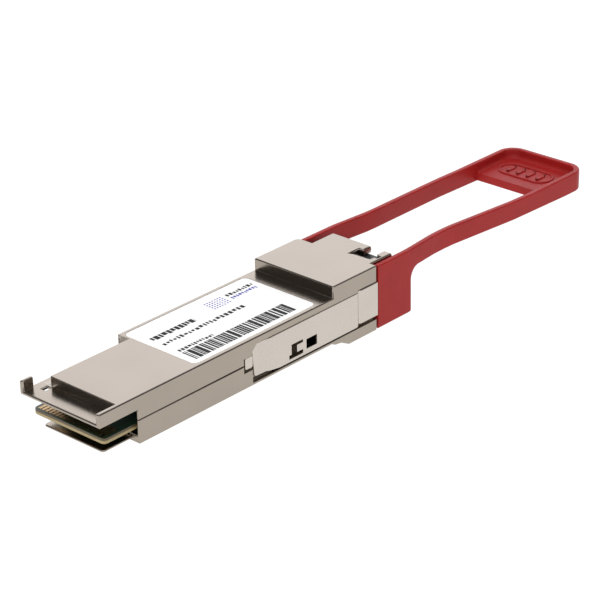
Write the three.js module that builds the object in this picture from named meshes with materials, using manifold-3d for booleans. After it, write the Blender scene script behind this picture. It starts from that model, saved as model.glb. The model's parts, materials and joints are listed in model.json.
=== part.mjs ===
// A pluggable optical transceiver module with a moulded pull tab, in millimetres.
// +X runs across the module, +Y along it from the card edge to the pull tab, +Z up.
// Heights count from the case's flat underside and lengths from the front lip while the
// pieces are made. The whole module is then moved so that its origin is below its middle.
import * as THREE from "three";
import { mergeVertices } from "three/addons/utils/BufferGeometryUtils.js";
import Module from "manifold-3d";

const wasm = await Module();
wasm.setup();

// Case
const HALF_WIDTH = 9.175;
const CASE_TOP = 8.5;
const PARTING = 4.2;
const CASE_FRONT = 8.14;
const CASE_REAR = 65.8;
const CEILING = 7.4;
const FLOOR = 0.9;
const CAVITY_HALF = 7.4;
const CHANNEL_CAVITY_HALF = 6.2;
const CAVITY_STEP = 42.4;
const CAVITY_REAR = 61.2;

// Front lip and nose plate
const LIP_UNDER = 5.98;
const LIP_FLOOR = 6.6;
const STEP_Y = 4.16;
const RAIL_WIDTH = 0.93;
const TAB = { width: 0.775, length: 2.3 };
const FAR_RECESS = { inset: 2.57, end: 21.45 };
const NOSE_PLATE = { half: 6.9, front: 2.4, thick: 0.4, radius: 0.6 };
const MOUTH = { half: 8.75, ledge: 1.45, depth: 9.6, throat: 8.25, end: 11.5 };

// Head and optical nose
const HEAD_FRONT = 54.46;
const HEAD_TOP = 10.69;
const HEAD_UNDER = -1.7;
const HEAD_CEILING = 9.5;
const NOSE = { left: -5.8, right: 7.8, rear: 71.3, bulge: 0.3, bottom: -0.6, roof: 9.34 };
const PORT_X = 4.65;
const PORT_Z = 5.4;
const PORT_SIDE = 4.6;
const RECEPTACLE = { half: 2.8, front: 61.6, rear: 71, bottom: 0.65, top: 9.3 };
const RECEPTACLE_GAP = 0.05;
const LATCH_WINDOW = { left: 2.16, right: 6.57, front: 66.25, drop: 68, rear: 69.3, ramp: 0.54 };
const LATCH_SLOT = { left: 3.1, right: 6.2 };
const LATCH_POCKET = { right: 7.22, front: 68.15, rear: 69.1 };

// Latch slides, springs and their recesses
const RECESS_X = 8.4;
const SLIDE = { inner: 8.45, outer: 9.1, proud: HALF_WIDTH, front: 34.95, bend: 61.25, rear: 66.2 };
const SLIDE_TOP = 7.15;
const SLIDE_BOTTOM = 0.55;
const SLIDE_GAP = 0.1;
const TAIL = { inner: 8, outer: 8.5, front: 64.8, rear: 72.5, bottom: 2, top: 6.4 };
const TAIL_HOLE = { y: 69.5, z: 4.2, radius: 1.2 };
const FLAP = { front: 43.95, rear: 46.8, trunk: 45.3, bottom: 1.2, foot: 1.9, arm: 3.25, top: 3.75 };
const SPRING_SIGHT = { front: 47.65, rear: 50.3, bottom: 1.6, top: 3.4 };
const RELIEF = { outer: 8.75, front: 43, rear: 51, bottom: 1.1, top: 3.85 };
const LUG = { inner: 6.9, front: 45.7, rear: 46.4, bottom: 2.3, top: 3.9, neckTop: 3.1 };
const CHANNEL = { inner: 6.7, front: 43.2, rear: 58, bottom: 1 };
const SPRING = { x: 7.6, z: 3.2, radius: 0.64, wire: 0.16, turns: 9 };
const SHELL_WINDOW = { front: 32.35, rear: 34.8, bottom: 2.85, top: 5.5, depth: RECESS_X };
const TIP_TONGUE = { front: 32.85, rear: 34.62, bottom: 3.25, top: 5.33, outer: 8.95, radius: 0.35 };

// Circuit board and what is on it
const BOARD_TOP = 3.27;
const BOARD_BOTTOM = 2.28;
const BOARD_FRONT = 1.6;
const BOARD_REAR = 51.5;
const CHIP = { half: 4, front: 20.5, rear: 28.5, height: 1.5 };
const PEDESTAL_BOTTOM = 5.3;
const CONTACTS = { count: 19, pitch: 0.8, width: 0.54, front: 2, rear: 5, bar: 0.3, thick: 0.05 };

// Screws and gaskets
const SCREW = { shank: 0.7, head: 1.1, headHeight: 0.6, tip: 6, sides: 16, recess: 0.5 };
const FRONT_SCREW = { x: 7.7, y: 13, seat: 0 };
const REAR_SCREWS = [-6.3, 0.2];
const REAR_SCREW_Y = 63.4;
const GASKET = { inner: 8.35, outer: 8.75, front: 15.6, rear: 30.9, half: 0.3, gap: 0.05 };

// Pull tab
const PULL = { front: 66.4, plateRear: 75.5, top: 10.3, bottom: -1.75, wall: 1.1, end: 127 };
const PULL_HALF = { plate: 9, neck: 8.18, pad: 9.15 };
const PULL_BEND = { start: 73, neck: 84.5, pad: 108 };
const PULL_UNDER = 6.6;
const PULL_FILLET = 2.2;
const PULL_DROP = { top: 0.8, topEnd: 114, under: 1, underEnd: 122 };
const PAD = { front: 115.1, floor: 7.7, under: 6.15, radius: 3.5, fillet: 0.8, steps: 5 };
const STADIUM = { x: -0.4, y: 120.6, halfLength: 6, halfWidth: 2.7, ring: 0.45, raised: 0.25 };
const PAD_BARS = { count: 4, pitch: 2.3, width: 0.75, length: 2.6 };

const LABEL = { half: 8.3, front: 22, rear: 51.1, radius: 1.1, thick: 0.08, recess: 0.1, gap: 0.05 };

const FINISHES = {
  nickel: [0xccc3bb, 0.32, 1],
  spring_steel: [0xc9c1b7, 0.25, 1],
  red_plastic: [0x9a3c3c, 0.45, 0],
  black_plastic: [0x17181a, 0.5, 0],
  board: [0x2c3a22, 0.55, 0],
  gold: [0xd1a954, 0.3, 1],
  package: [0x202124, 0.6, 0],
  ceramic: [0xb9a98a, 0.5, 0],
  pad: [0x8e9aa3, 0.85, 0],
  flex: [0xa8672a, 0.5, 0],
  label: [0xf4f4f2, 0.6, 0],
  gasket: [0x55565a, 0.8, 0.2],
};

const transceiver = new THREE.Group();

// --- Shapes -------------------------------------------------------------------------

function solid(geometry) {
  const bare = geometry.clone();
  bare.deleteAttribute("normal");
  bare.deleteAttribute("uv");
  const merged = mergeVertices(bare, 1e-4);
  const vertProperties = merged.attributes.position.array;
  const triVerts = new Uint32Array(merged.index.array);
  return new wasm.Manifold(new wasm.Mesh({ numProp: 3, vertProperties, triVerts }));
}

function block(xs, ys, zs) {
  const [x0, x1] = xs[0] < xs[1] ? xs : [xs[1], xs[0]];
  const box = new THREE.BoxGeometry(x1 - x0, ys[1] - ys[0], zs[1] - zs[0]);
  box.translate((x0 + x1) / 2, (ys[0] + ys[1]) / 2, (zs[0] + zs[1]) / 2);
  return solid(box);
}

// A plan outline in X and Y, raised from one height to another.
function raised(outline, zs, curveSegments = 6) {
  const depth = zs[1] - zs[0];
  const shape = new THREE.ExtrudeGeometry(outline, { depth, curveSegments, bevelEnabled: false });
  return solid(shape.translate(0, 0, zs[0]));
}

// A side outline in Y and Z, carried across from one X to another.
function carried(outline, xs, curveSegments = 6) {
  const [x0, x1] = xs[0] < xs[1] ? xs : [xs[1], xs[0]];
  const settings = { depth: x1 - x0, curveSegments, bevelEnabled: false };
  const shape = new THREE.ExtrudeGeometry(outline, settings);
  const sideways = new THREE.Matrix4().makeBasis(
    new THREE.Vector3(0, 1, 0),
    new THREE.Vector3(0, 0, 1),
    new THREE.Vector3(1, 0, 0),
  );
  return solid(shape.applyMatrix4(sideways).translate(x0, 0, 0));
}

function outlineOf(points) {
  return new THREE.Shape(points.map(([u, v]) => new THREE.Vector2(u, v)));
}

function roundedOutline([u0, u1], [v0, v1], radius) {
  const shape = new THREE.Shape();
  shape.absarc(u1 - radius, v0 + radius, radius, -Math.PI / 2, 0);
  shape.absarc(u1 - radius, v1 - radius, radius, 0, Math.PI / 2);
  shape.absarc(u0 + radius, v1 - radius, radius, Math.PI / 2, Math.PI);
  shape.absarc(u0 + radius, v0 + radius, radius, Math.PI, 1.5 * Math.PI);
  return shape;
}

// A round bar along "x", "y" or "z", between two places on that axis, centred on the other two.
function bar(axis, ends, centre, radius, sides = 20) {
  const shape = new THREE.CylinderGeometry(radius, radius, ends[1] - ends[0], sides);
  const middle = (ends[0] + ends[1]) / 2;
  if (axis === "x") shape.rotateZ(-Math.PI / 2).translate(middle, centre[0], centre[1]);
  if (axis === "y") shape.translate(centre[0], middle, centre[1]);
  if (axis === "z") shape.rotateX(Math.PI / 2).translate(centre[0], centre[1], middle);
  return solid(shape);
}

function joined(solids) {
  return solids.reduce((all, one) => all.add(one));
}

function add(name, finish, shape) {
  const { numProp, vertProperties, triVerts } = shape.getMesh();
  const geometry = new THREE.BufferGeometry();
  geometry.setAttribute("position", new THREE.BufferAttribute(vertProperties, numProp));
  geometry.setIndex(new THREE.BufferAttribute(triVerts, 1));
  const [color, roughness, metalness] = FINISHES[finish];
  const mesh = new THREE.Mesh(
    geometry,
    new THREE.MeshStandardMaterial({ color, roughness, metalness }),
  );
  mesh.name = name;
  transceiver.add(mesh);
}

const bothSides = (make) => joined([make(1), make(-1)]);

// --- Case ---------------------------------------------------------------------------

function slideRecess(side) {
  const top = SLIDE_TOP + SLIDE_GAP;
  const outline = outlineOf([
    [SLIDE.front - 0.4, SLIDE_BOTTOM - SLIDE_GAP],
    [SLIDE.rear + 1, SLIDE_BOTTOM - SLIDE_GAP],
    [SLIDE.rear + 1, top + 0.35],
    [SLIDE.bend - 0.2, top + 0.35],
    [SLIDE.bend - 0.2, top],
    [SLIDE.front + 0.7, top],
    [SLIDE.front - 0.4, top - 1.1],
  ]);
  const plate = carried(outline, [side * RECESS_X, side * 10]);
  const tailZ = [TAIL.bottom - 0.4, TAIL.top + 0.4];
  return plate.add(block([side * 7.85, side * 10], [TAIL.front - 0.6, SLIDE.rear + 1], tailZ));
}

function shellWindow(side) {
  const zs = [SHELL_WINDOW.bottom, SHELL_WINDOW.top];
  return block([side * SHELL_WINDOW.depth, side * 10], [SHELL_WINDOW.front, SHELL_WINDOW.rear], zs);
}

function gasketGroove(side) {
  const xs = [side * (GASKET.inner - GASKET.gap), side * (GASKET.outer + GASKET.gap)];
  const reach = GASKET.half + GASKET.gap;
  const ys = [GASKET.front - GASKET.gap, GASKET.rear + GASKET.gap];
  return block(xs, ys, [PARTING - reach, PARTING + reach]);
}

function receptaclePocket() {
  const half = RECEPTACLE.half + RECEPTACLE_GAP;
  const zs = [RECEPTACLE.bottom - RECEPTACLE_GAP, NOSE.roof];
  return block([PORT_X - half, PORT_X + half], [CAVITY_REAR - 0.1, NOSE.rear + 1], zs);
}

function screwPlaces() {
  const rear = REAR_SCREWS.map((x) => ({ x, y: REAR_SCREW_Y, seat: HEAD_UNDER }));
  return [1, -1].map((side) => ({ ...FRONT_SCREW, x: side * FRONT_SCREW.x })).concat(rear);
}

function topCavity() {
  const low = PARTING - 0.1;
  const mouth = block([-MOUTH.half, MOUTH.half], [CASE_FRONT - 0.1, MOUTH.depth], [low, LIP_UNDER]);
  const throatY = [CASE_FRONT, MOUTH.end];
  const throat = block([-MOUTH.throat, MOUTH.throat], throatY, [low, LIP_UNDER]);
  const neckHalf = FRONT_SCREW.x - 1.3;
  const neck = block([-neckHalf, neckHalf], [MOUTH.end - 0.1, 14.6], [low, CEILING]);
  const hall = block([-CAVITY_HALF, CAVITY_HALF], [14.5, HEAD_FRONT + 1.1], [low, CEILING]);
  const head = block(
    [-CAVITY_HALF, CAVITY_HALF],
    [HEAD_FRONT + 1, CAVITY_REAR],
    [low, HEAD_CEILING],
  );
  const pedestal = block(
    [-CHIP.half - 0.5, CHIP.half + 0.5],
    [CHIP.front - 1, CHIP.rear + 1],
    [PEDESTAL_BOTTOM, CEILING + 1],
  );
  return joined([mouth, throat, neck, hall, head]).subtract(pedestal);
}

function latchWindow() {
  const above = HEAD_TOP + 1;
  const below = NOSE.roof - 0.2;
  const outline = outlineOf([
    [LATCH_WINDOW.front, above],
    [LATCH_WINDOW.front, HEAD_TOP],
    [LATCH_WINDOW.drop, HEAD_TOP - LATCH_WINDOW.ramp],
    [LATCH_WINDOW.drop, below],
    [LATCH_WINDOW.rear, below],
    [LATCH_WINDOW.rear, above],
  ]);
  const opening = carried(outline, [LATCH_WINDOW.left, LATCH_WINDOW.right]);
  const slotY = [LATCH_WINDOW.rear - 0.1, NOSE.rear + 1];
  const slot = block([LATCH_SLOT.left, LATCH_SLOT.right], slotY, [below, above]);
  const pocketY = [LATCH_POCKET.front, LATCH_POCKET.rear];
  const pocket = block([LATCH_WINDOW.right - 0.1, LATCH_POCKET.right], pocketY, [below, above]);
  return joined([opening, slot, pocket]);
}

function noseRoofBlock() {
  const middle = (HEAD_TOP + NOSE.roof) / 2;
  const outline = outlineOf([
    [CASE_REAR - 0.5, PARTING],
    [NOSE.rear, PARTING],
    [NOSE.rear, NOSE.roof - 0.03],
    [NOSE.rear + NOSE.bulge * 0.75, NOSE.roof + 0.25],
    [NOSE.rear + NOSE.bulge, middle],
    [NOSE.rear + NOSE.bulge * 0.75, HEAD_TOP - 0.25],
    [NOSE.rear, HEAD_TOP],
    [CASE_REAR - 0.5, HEAD_TOP],
  ]);
  return carried(outline, [NOSE.left, NOSE.right]);
}

function labelOutline(gap) {
  const ys = [LABEL.front - gap, LABEL.rear + gap];
  return roundedOutline([-LABEL.half - gap, LABEL.half + gap], ys, LABEL.radius + gap);
}

function topShell() {
  const full = [-HALF_WIDTH, HALF_WIDTH];
  const body = block(full, [CASE_FRONT, CASE_REAR], [PARTING, CASE_TOP]);
  const lip = block(full, [0, CASE_FRONT + 0.1], [LIP_UNDER, CASE_TOP]);
  const corner = 1;
  const headOutline = outlineOf([
    [-HALF_WIDTH, HEAD_FRONT],
    [HALF_WIDTH, HEAD_FRONT],
    [HALF_WIDTH, CASE_REAR],
    [corner - HALF_WIDTH, CASE_REAR],
    [0.3 * corner - HALF_WIDTH, CASE_REAR - 0.3 * corner],
    [-HALF_WIDTH, CASE_REAR - corner],
  ]);
  const head = raised(headOutline, [CASE_TOP - 0.1, HEAD_TOP]);
  const outside = joined([body, lip, head, noseRoofBlock()]);

  const above = [LIP_FLOOR, CASE_TOP + 1];
  const railX = HALF_WIDTH - RAIL_WIDTH;
  const pocket = block([-10, railX], [TAB.length, STEP_Y], above);
  const behindTab = block([TAB.width - HALF_WIDTH, railX], [-1, TAB.length + 0.1], above);
  const farX = FAR_RECESS.inset - HALF_WIDTH;
  const farRecess = block([-10, farX], [STEP_Y - 0.1, FAR_RECESS.end], above);
  const drain = block([farX - 0.5, farX + 0.4], [2.7, 4], [LIP_UNDER - 1, LIP_FLOOR + 0.1]);
  const labelZ = [CASE_TOP - LABEL.recess, CASE_TOP + 1];
  const labelRecess = raised(labelOutline(LABEL.gap), labelZ, 5);
  const openings = [pocket, behindTab, farRecess, drain, labelRecess];
  const cuts = joined([...openings, topCavity(), receptaclePocket()]);

  const holes = screwPlaces().map(({ x, y }) =>
    bar("z", [PARTING - 0.1, SCREW.tip + 0.3], [x, y], SCREW.shank + 0.05, SCREW.sides),
  );
  return outside
    .subtract(cuts)
    .subtract(joined(holes))
    .subtract(bothSides(slideRecess))
    .subtract(bothSides(gasketGroove))
    .subtract(latchWindow())
    .subtract(bothSides(shellWindow));
}

function bottomCavity() {
  const high = PARTING + 0.1;
  const mouth = block([-MOUTH.half, MOUTH.half], [CASE_FRONT - 1, MOUTH.depth], [MOUTH.ledge, high]);
  const throatY = [CASE_FRONT, MOUTH.end];
  const throat = block([-MOUTH.throat, MOUTH.throat], throatY, [MOUTH.ledge, high]);
  const sillHalf = NOSE_PLATE.half;
  const sill = block([-sillHalf, sillHalf], [CASE_FRONT - 1, MOUTH.end], [FLOOR, high]);
  const neckHalf = FRONT_SCREW.x - 1.3;
  const neck = block([-neckHalf, neckHalf], [MOUTH.end - 0.1, 14.6], [FLOOR, high]);
  const hall = block([-CAVITY_HALF, CAVITY_HALF], [14.5, CAVITY_STEP], [FLOOR, high]);
  const rearX = [-CHANNEL_CAVITY_HALF, CHANNEL_CAVITY_HALF];
  const rear = block(rearX, [CAVITY_STEP - 0.1, CAVITY_REAR], [FLOOR, high]);
  const ledges = bothSides((side) =>
    joined([
      block([side * 6.6, side * 8], [14.8, CAVITY_STEP - 0.4], [0, BOARD_BOTTOM]),
      block([side * 5.4, side * 7], [CAVITY_STEP - 0.5, BOARD_REAR], [0, BOARD_BOTTOM]),
    ]),
  );
  const optics = block([2.2, 7.1], [51, CAVITY_REAR], [3.65, high]);
  return joined([mouth, throat, sill, neck, hall, rear]).subtract(ledges).add(optics);
}

function underHead() {
  const outline = outlineOf([
    [54, 0],
    [55, -0.5],
    [56.5, -0.7],
    [58.5, HEAD_UNDER],
    [CASE_REAR, HEAD_UNDER],
    [CASE_REAR, 0.2],
    [54, 0.2],
  ]);
  return carried(outline, [-HALF_WIDTH, HALF_WIDTH]);
}

function bottomShell() {
  const full = [-HALF_WIDTH, HALF_WIDTH];
  const body = block(full, [CASE_FRONT, CASE_REAR], [0, PARTING]);
  const { half, front, thick, radius } = NOSE_PLATE;
  const plateOutline = roundedOutline([-half, half], [front, CASE_FRONT + 2], radius);
  const plate = raised(plateOutline, [0, thick], 4);
  const noseY = [CASE_REAR - 0.1, NOSE.rear];
  const nose = block([NOSE.left, NOSE.right], noseY, [NOSE.bottom, PARTING]);
  const outside = joined([body, plate, nose, underHead()]);

  const channel = (side) =>
    block(
      [side * CHANNEL.inner, side * (RECESS_X + 0.1)],
      [CHANNEL.front, CHANNEL.rear],
      [CHANNEL.bottom, PARTING + 0.1],
    );
  const holes = screwPlaces().map(({ x, y, seat }) => {
    const shank = bar("z", [seat - 1, PARTING + 1], [x, y], SCREW.shank + 0.1, SCREW.sides);
    const counterbore = [seat - 1, seat + SCREW.headHeight + 0.1];
    return shank.add(bar("z", counterbore, [x, y], SCREW.head + 0.1, SCREW.sides));
  });
  return outside
    .subtract(joined([bottomCavity(), receptaclePocket(), ...holes]))
    .subtract(bothSides(slideRecess))
    .subtract(bothSides(channel))
    .subtract(bothSides(gasketGroove))
    .subtract(bothSides(shellWindow));
}

function shellScrew({ x, y, seat }) {
  const low = seat + 0.05;
  const under = low + SCREW.headHeight;
  const profile = [
    [0, low + 0.3],
    [SCREW.recess, low + 0.3],
    [SCREW.recess, low],
    [SCREW.head - 0.15, low],
    [SCREW.head, low + 0.15],
    [SCREW.head, under],
    [SCREW.shank, under],
    [SCREW.shank, SCREW.tip - 0.4],
    [SCREW.shank - 0.3, SCREW.tip],
    [0, SCREW.tip],
  ].map(([r, z]) => new THREE.Vector2(r, z));
  const turned = new THREE.LatheGeometry(profile, SCREW.sides);
  return solid(turned.rotateX(Math.PI / 2).translate(x, y, 0));
}

function shellGasket(side) {
  const zs = [PARTING - GASKET.half, PARTING + GASKET.half];
  return block([side * GASKET.inner, side * GASKET.outer], [GASKET.front, GASKET.rear], zs);
}

// --- Latch --------------------------------------------------------------------------

// The narrow end of a slide, which lies in the side pocket ahead of the tip.
function tipTongue(side) {
  const { front, rear, bottom, top, outer, radius } = TIP_TONGUE;
  const outline = roundedOutline([front, rear], [bottom, top], radius);
  const end = carried(outline, [side * SLIDE.inner, side * outer]);
  const neckX = [side * SLIDE.inner, side * (SLIDE.inner + 0.2)];
  return end.add(block(neckX, [rear - 0.3, SLIDE.front + 0.3], [bottom + 0.3, top - 0.3]));
}

function slide(side) {
  const xs = [side * SLIDE.inner, side * SLIDE.outer];
  const low = outlineOf([
    [SLIDE.front + 0.2, 1.35],
    [SLIDE.front + 0.5, 1.05],
    [SLIDE.front + 2.9, 1.05],
    [SLIDE.front + 6.1, SLIDE_BOTTOM],
    [SLIDE.bend - 0.6, SLIDE_BOTTOM],
    [SLIDE.bend - 0.18, SLIDE_BOTTOM + 0.18],
    [SLIDE.bend, SLIDE_BOTTOM + 0.6],
    [SLIDE.bend, SLIDE_TOP],
    [SLIDE.front + 0.9, SLIDE_TOP],
    [SLIDE.front + 0.1, SLIDE_TOP - 0.4],
    [SLIDE.front - 0.2, SLIDE_TOP - 1.1],
  ]);
  const rearY = [SLIDE.bend - 0.1, SLIDE.rear];
  const rear = block([side * SLIDE.inner, side * SLIDE.proud], rearY, [1, SLIDE_TOP + 0.3]);
  const tailX = [side * TAIL.inner, side * TAIL.outer];
  const tail = block(tailX, [TAIL.front, TAIL.rear], [TAIL.bottom, TAIL.top]);
  const lugY = [LUG.front, LUG.rear];
  const neck = block([side * 8, side * (RELIEF.outer + 0.1)], lugY, [LUG.bottom, LUG.neckTop]);
  const lug = block([side * LUG.inner, side * 8.2], lugY, [LUG.bottom, LUG.top]).add(neck);

  const through = [side * 8.2, side * 10];
  const flapSlot = joined([
    block(through, [FLAP.front, FLAP.trunk], [FLAP.bottom, FLAP.top]),
    block(through, [FLAP.front, FLAP.rear], [FLAP.arm, FLAP.top]),
    block(through, [FLAP.front - 0.6, FLAP.rear], [FLAP.bottom, FLAP.foot]),
  ]);
  const sightY = [SPRING_SIGHT.front, SPRING_SIGHT.rear];
  const sight = block(through, sightY, [SPRING_SIGHT.bottom, SPRING_SIGHT.top]);
  const reliefX = [side * 8.2, side * RELIEF.outer];
  const relief = block(reliefX, [RELIEF.front, RELIEF.rear], [RELIEF.bottom, RELIEF.top]);
  const holeX = side > 0 ? [7, 9] : [-9, -7];
  const tailHole = bar("x", holeX, [TAIL_HOLE.y, TAIL_HOLE.z], TAIL_HOLE.radius, 16);
  const ramp = raised(
    outlineOf([
      [side * SLIDE.outer, SLIDE.front + 3.8],
      [side * 10, SLIDE.front + 3.8],
      [side * 10, SLIDE.front - 1],
      [side * (SLIDE.outer - 0.36), SLIDE.front - 1],
      [side * (SLIDE.outer - 0.2), SLIDE.front + 2.7],
    ]),
    [0, CASE_TOP],
  );
  return carried(low, xs)
    .add(rear)
    .add(tail)
    .subtract(joined([flapSlot, sight, relief, tailHole, ramp]))
    .add(lug)
    .add(tipTongue(side));
}

class Helix extends THREE.Curve {
  constructor(side) {
    super();
    this.side = side;
  }

  getPoint(t) {
    const turn = t * SPRING.turns * 2 * Math.PI;
    const start = LUG.rear + 0.05 + SPRING.wire;
    const y = start + t * (CHANNEL.rear - SPRING.wire - start);
    const x = this.side * SPRING.x + SPRING.radius * Math.cos(turn);
    return new THREE.Vector3(x, y, SPRING.z + SPRING.radius * Math.sin(turn));
  }
}

function returnSpring(side) {
  const wire = new THREE.Shape().absarc(0, 0, SPRING.wire, 0, 2 * Math.PI);
  const settings = {
    steps: SPRING.turns * 10,
    curveSegments: 3,
    bevelEnabled: false,
    extrudePath: new Helix(side),
  };
  return solid(new THREE.ExtrudeGeometry(wire, settings));
}

// --- Pull tab -----------------------------------------------------------------------

const ease = (from, to, y) => THREE.MathUtils.smoothstep(y, from, to);

function pullHalfWidth(y) {
  const inward = ease(PULL_BEND.start, PULL_BEND.neck, y) * (PULL_HALF.plate - PULL_HALF.neck);
  const outward = ease(PULL_BEND.neck, PULL_BEND.pad, y) * (PULL_HALF.pad - PULL_HALF.neck);
  return PULL_HALF.plate - inward + outward;
}

// The plan outline of the pull tab, moved inwards by a wall's thickness, up to its rounded end.
function pullPlan(front, inset, radius) {
  const end = PULL.end - inset;
  const side = [];
  const bends = 16;
  const reach = PULL_BEND.pad + 2;
  for (let i = 0; i <= bends; i += 1) {
    const y = front + ((reach - front) * i) / bends;
    side.push([pullHalfWidth(y) - inset, y]);
  }
  const shape = new THREE.Shape();
  shape.moveTo(side[0][0], side[0][1]);
  side.slice(1).forEach(([x, y]) => shape.lineTo(x, y));
  const half = PULL_HALF.pad - inset;
  shape.absarc(half - radius, end - radius, radius, 0, Math.PI / 2);
  shape.absarc(radius - half, end - radius, radius, Math.PI / 2, Math.PI);
  side.reverse().forEach(([x, y]) => shape.lineTo(-x, y));
  return shape;
}

// The side outline of the pull tab: the deep plates, the fillet and the slightly drooping arms.
function pullSide() {
  const shape = new THREE.Shape();
  const droop = 12;
  const start = PULL_BEND.neck;
  const topZ = (y) => PULL.top - PULL_DROP.top * ease(start, PULL_DROP.topEnd, y);
  const underZ = (y) => PULL_UNDER - PULL_DROP.under * ease(start, PULL_DROP.underEnd, y);
  shape.moveTo(PULL.front, PULL.bottom);
  shape.lineTo(PULL.plateRear, PULL.bottom);
  const [fy, fz] = [PULL.plateRear + PULL_FILLET, PULL_UNDER - PULL_FILLET];
  shape.absarc(fy, fz, PULL_FILLET, Math.PI, Math.PI / 2, true);
  const places = [];
  for (let i = 0; i <= droop; i += 1) places.push(start + ((PULL.end + 1 - start) * i) / droop);
  places.forEach((y) => shape.lineTo(y, underZ(y)));
  places.reverse().forEach((y) => shape.lineTo(y, topZ(y)));
  shape.lineTo(PULL.front, PULL.top);
  return shape;
}

function padMotif() {
  const { x: middle, y, halfLength, halfWidth, ring, raised: up } = STADIUM;
  const zs = [PAD.floor - 0.1, PAD.floor + up];
  const band = (inset) =>
    roundedOutline(
      [middle + inset - halfLength, middle + halfLength - inset],
      [y - halfWidth + inset, y + halfWidth - inset],
      halfWidth - inset - 0.01,
    );
  const outer = raised(band(0), zs, 8);
  const inner = raised(band(ring), [zs[0] - 1, zs[1] + 1], 8);
  const bars = Array.from({ length: PAD_BARS.count }, (_, i) => {
    const x = middle + (i - (PAD_BARS.count - 1) / 2) * PAD_BARS.pitch;
    const xs = [x - PAD_BARS.width / 2, x + PAD_BARS.width / 2];
    const ys = [y - PAD_BARS.length / 2, y + PAD_BARS.length / 2];
    return raised(roundedOutline(xs, ys, PAD_BARS.width / 2 - 0.01), zs, 4);
  });
  return joined([outer.subtract(inner), ...bars]);
}

// The space over the pad's floor, which meets the walls in a fillet.
function padHollow() {
  const layers = Array.from({ length: PAD.steps + 1 }, (_, i) => {
    const turn = ((i / PAD.steps) * Math.PI) / 2;
    const inset = PULL.wall + PAD.fillet * (1 - Math.sin(turn));
    const z = PAD.floor + PAD.fillet * (1 - Math.cos(turn));
    const half = PULL_HALF.pad - inset;
    const ys = [PAD.front - 10, PULL.end - inset];
    const outline = roundedOutline([-half, half], ys, PAD.radius - inset);
    return raised(outline, [z, i < PAD.steps ? z + 0.01 : 15], 8);
  });
  return wasm.Manifold.hull(layers);
}

function pullTab() {
  const tall = [-5, 15];
  const outside = raised(pullPlan(PULL.front, 0, PAD.radius), tall, 8);
  const innerRadius = PAD.radius - PULL.wall;
  const inside = raised(pullPlan(PULL.front - 1, PULL.wall, innerRadius), tall, 8);
  const side = carried(pullSide(), [-10, 10], 8);
  const padZ = [PAD.under, PAD.floor + PAD.fillet];
  const padBlock = block([-10, 10], [PAD.front, PULL.end], padZ);
  const pad = inside.intersect(padBlock).subtract(padHollow());
  const frame = outside.subtract(inside).add(pad).intersect(side);

  const rebate = (s) =>
    block(
      [s * 7, s * (TAIL.outer + 0.05)],
      [PULL.front - 1, TAIL.rear + 0.3],
      [TAIL.bottom - 0.3, TAIL.top + 0.3],
    );
  const stud = (s) => {
    const xs = s > 0 ? [8, 8.7] : [-8.7, -8];
    return bar("x", xs, [TAIL_HOLE.y, TAIL_HOLE.z], TAIL_HOLE.radius - 0.1, 16);
  };
  return frame.subtract(bothSides(rebate)).add(bothSides(stud)).add(padMotif());
}

// --- Board --------------------------------------------------------------------------

function mainBoard() {
  const outline = outlineOf([
    [8.2, BOARD_FRONT + 0.7],
    [8.2, 11.2],
    [6.2, 11.2],
    [6.2, 14.8],
    [7.2, 14.8],
    [7.2, CAVITY_STEP - 0.3],
    [6, CAVITY_STEP - 0.3],
    [6, BOARD_REAR],
    [-6, BOARD_REAR],
    [-6, CAVITY_STEP - 0.3],
    [-7.2, CAVITY_STEP - 0.3],
    [-7.2, 14.8],
    [-6.2, 14.8],
    [-6.2, 11.2],
    [-8.2, 11.2],
    [-8.2, BOARD_FRONT + 0.7],
    [-8, BOARD_FRONT + 0.2],
    [-7.5, BOARD_FRONT],
    [7.5, BOARD_FRONT],
    [8, BOARD_FRONT + 0.2],
  ]);
  return raised(outline, [BOARD_BOTTOM, BOARD_TOP]);
}

// One row of contact fingers, joined behind the lip by their plating bar.
function edgeContacts(zs) {
  const span = ((CONTACTS.count - 1) * CONTACTS.pitch + CONTACTS.width) / 2;
  const fingers = Array.from({ length: CONTACTS.count }, (_, i) => {
    const x = i * CONTACTS.pitch - span;
    return block([x, x + CONTACTS.width], [CONTACTS.front, CONTACTS.rear + 0.1], zs);
  });
  const tie = block([-span, span], [CONTACTS.rear, CONTACTS.rear + CONTACTS.bar], zs);
  return joined([tie, ...fingers]);
}

function onBoard(name, finish, xs, ys, height) {
  add(name, finish, block(xs, ys, [BOARD_TOP, BOARD_TOP + height]));
}

function addBoardParts() {
  const { half, front, rear, height } = CHIP;
  onBoard("signal_processor", "package", [-half, half], [front, rear], height);
  onBoard("microcontroller", "package", [-5.5, -0.5], [33, 38], 0.9);
  onBoard("power_converter", "package", [1.5, 5.5], [31.5, 35.5], 1);
  onBoard("driver_chip", "package", [1.2, 5.2], [38.5, 43.3], 0.8);
  onBoard("crystal", "ceramic", [-5.2, -2.7], [40, 42], 0.6);
  [-5.6, 2.6].forEach((x, i) => {
    onBoard(`power_inductor_${i + 1}`, "package", [x, x + 3], [15.4, 18.4], 1.6);
  });
  for (let i = 0; i < 6; i += 1) {
    const x = -5.4 + 1.4 * i;
    onBoard(`capacitor_${i + 1}`, "ceramic", [x, x + 0.8], [44.6, 46.2], 0.8);
  }
  const chipX = [-half, half];
  const chipY = [front, rear];
  add("thermal_pad_top", "pad", block(chipX, chipY, [BOARD_TOP + height, PEDESTAL_BOTTOM]));
  add("thermal_pad_bottom", "pad", block(chipX, chipY, [FLOOR, BOARD_BOTTOM]));
}

// --- Optical subassembly --------------------------------------------------------------

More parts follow.
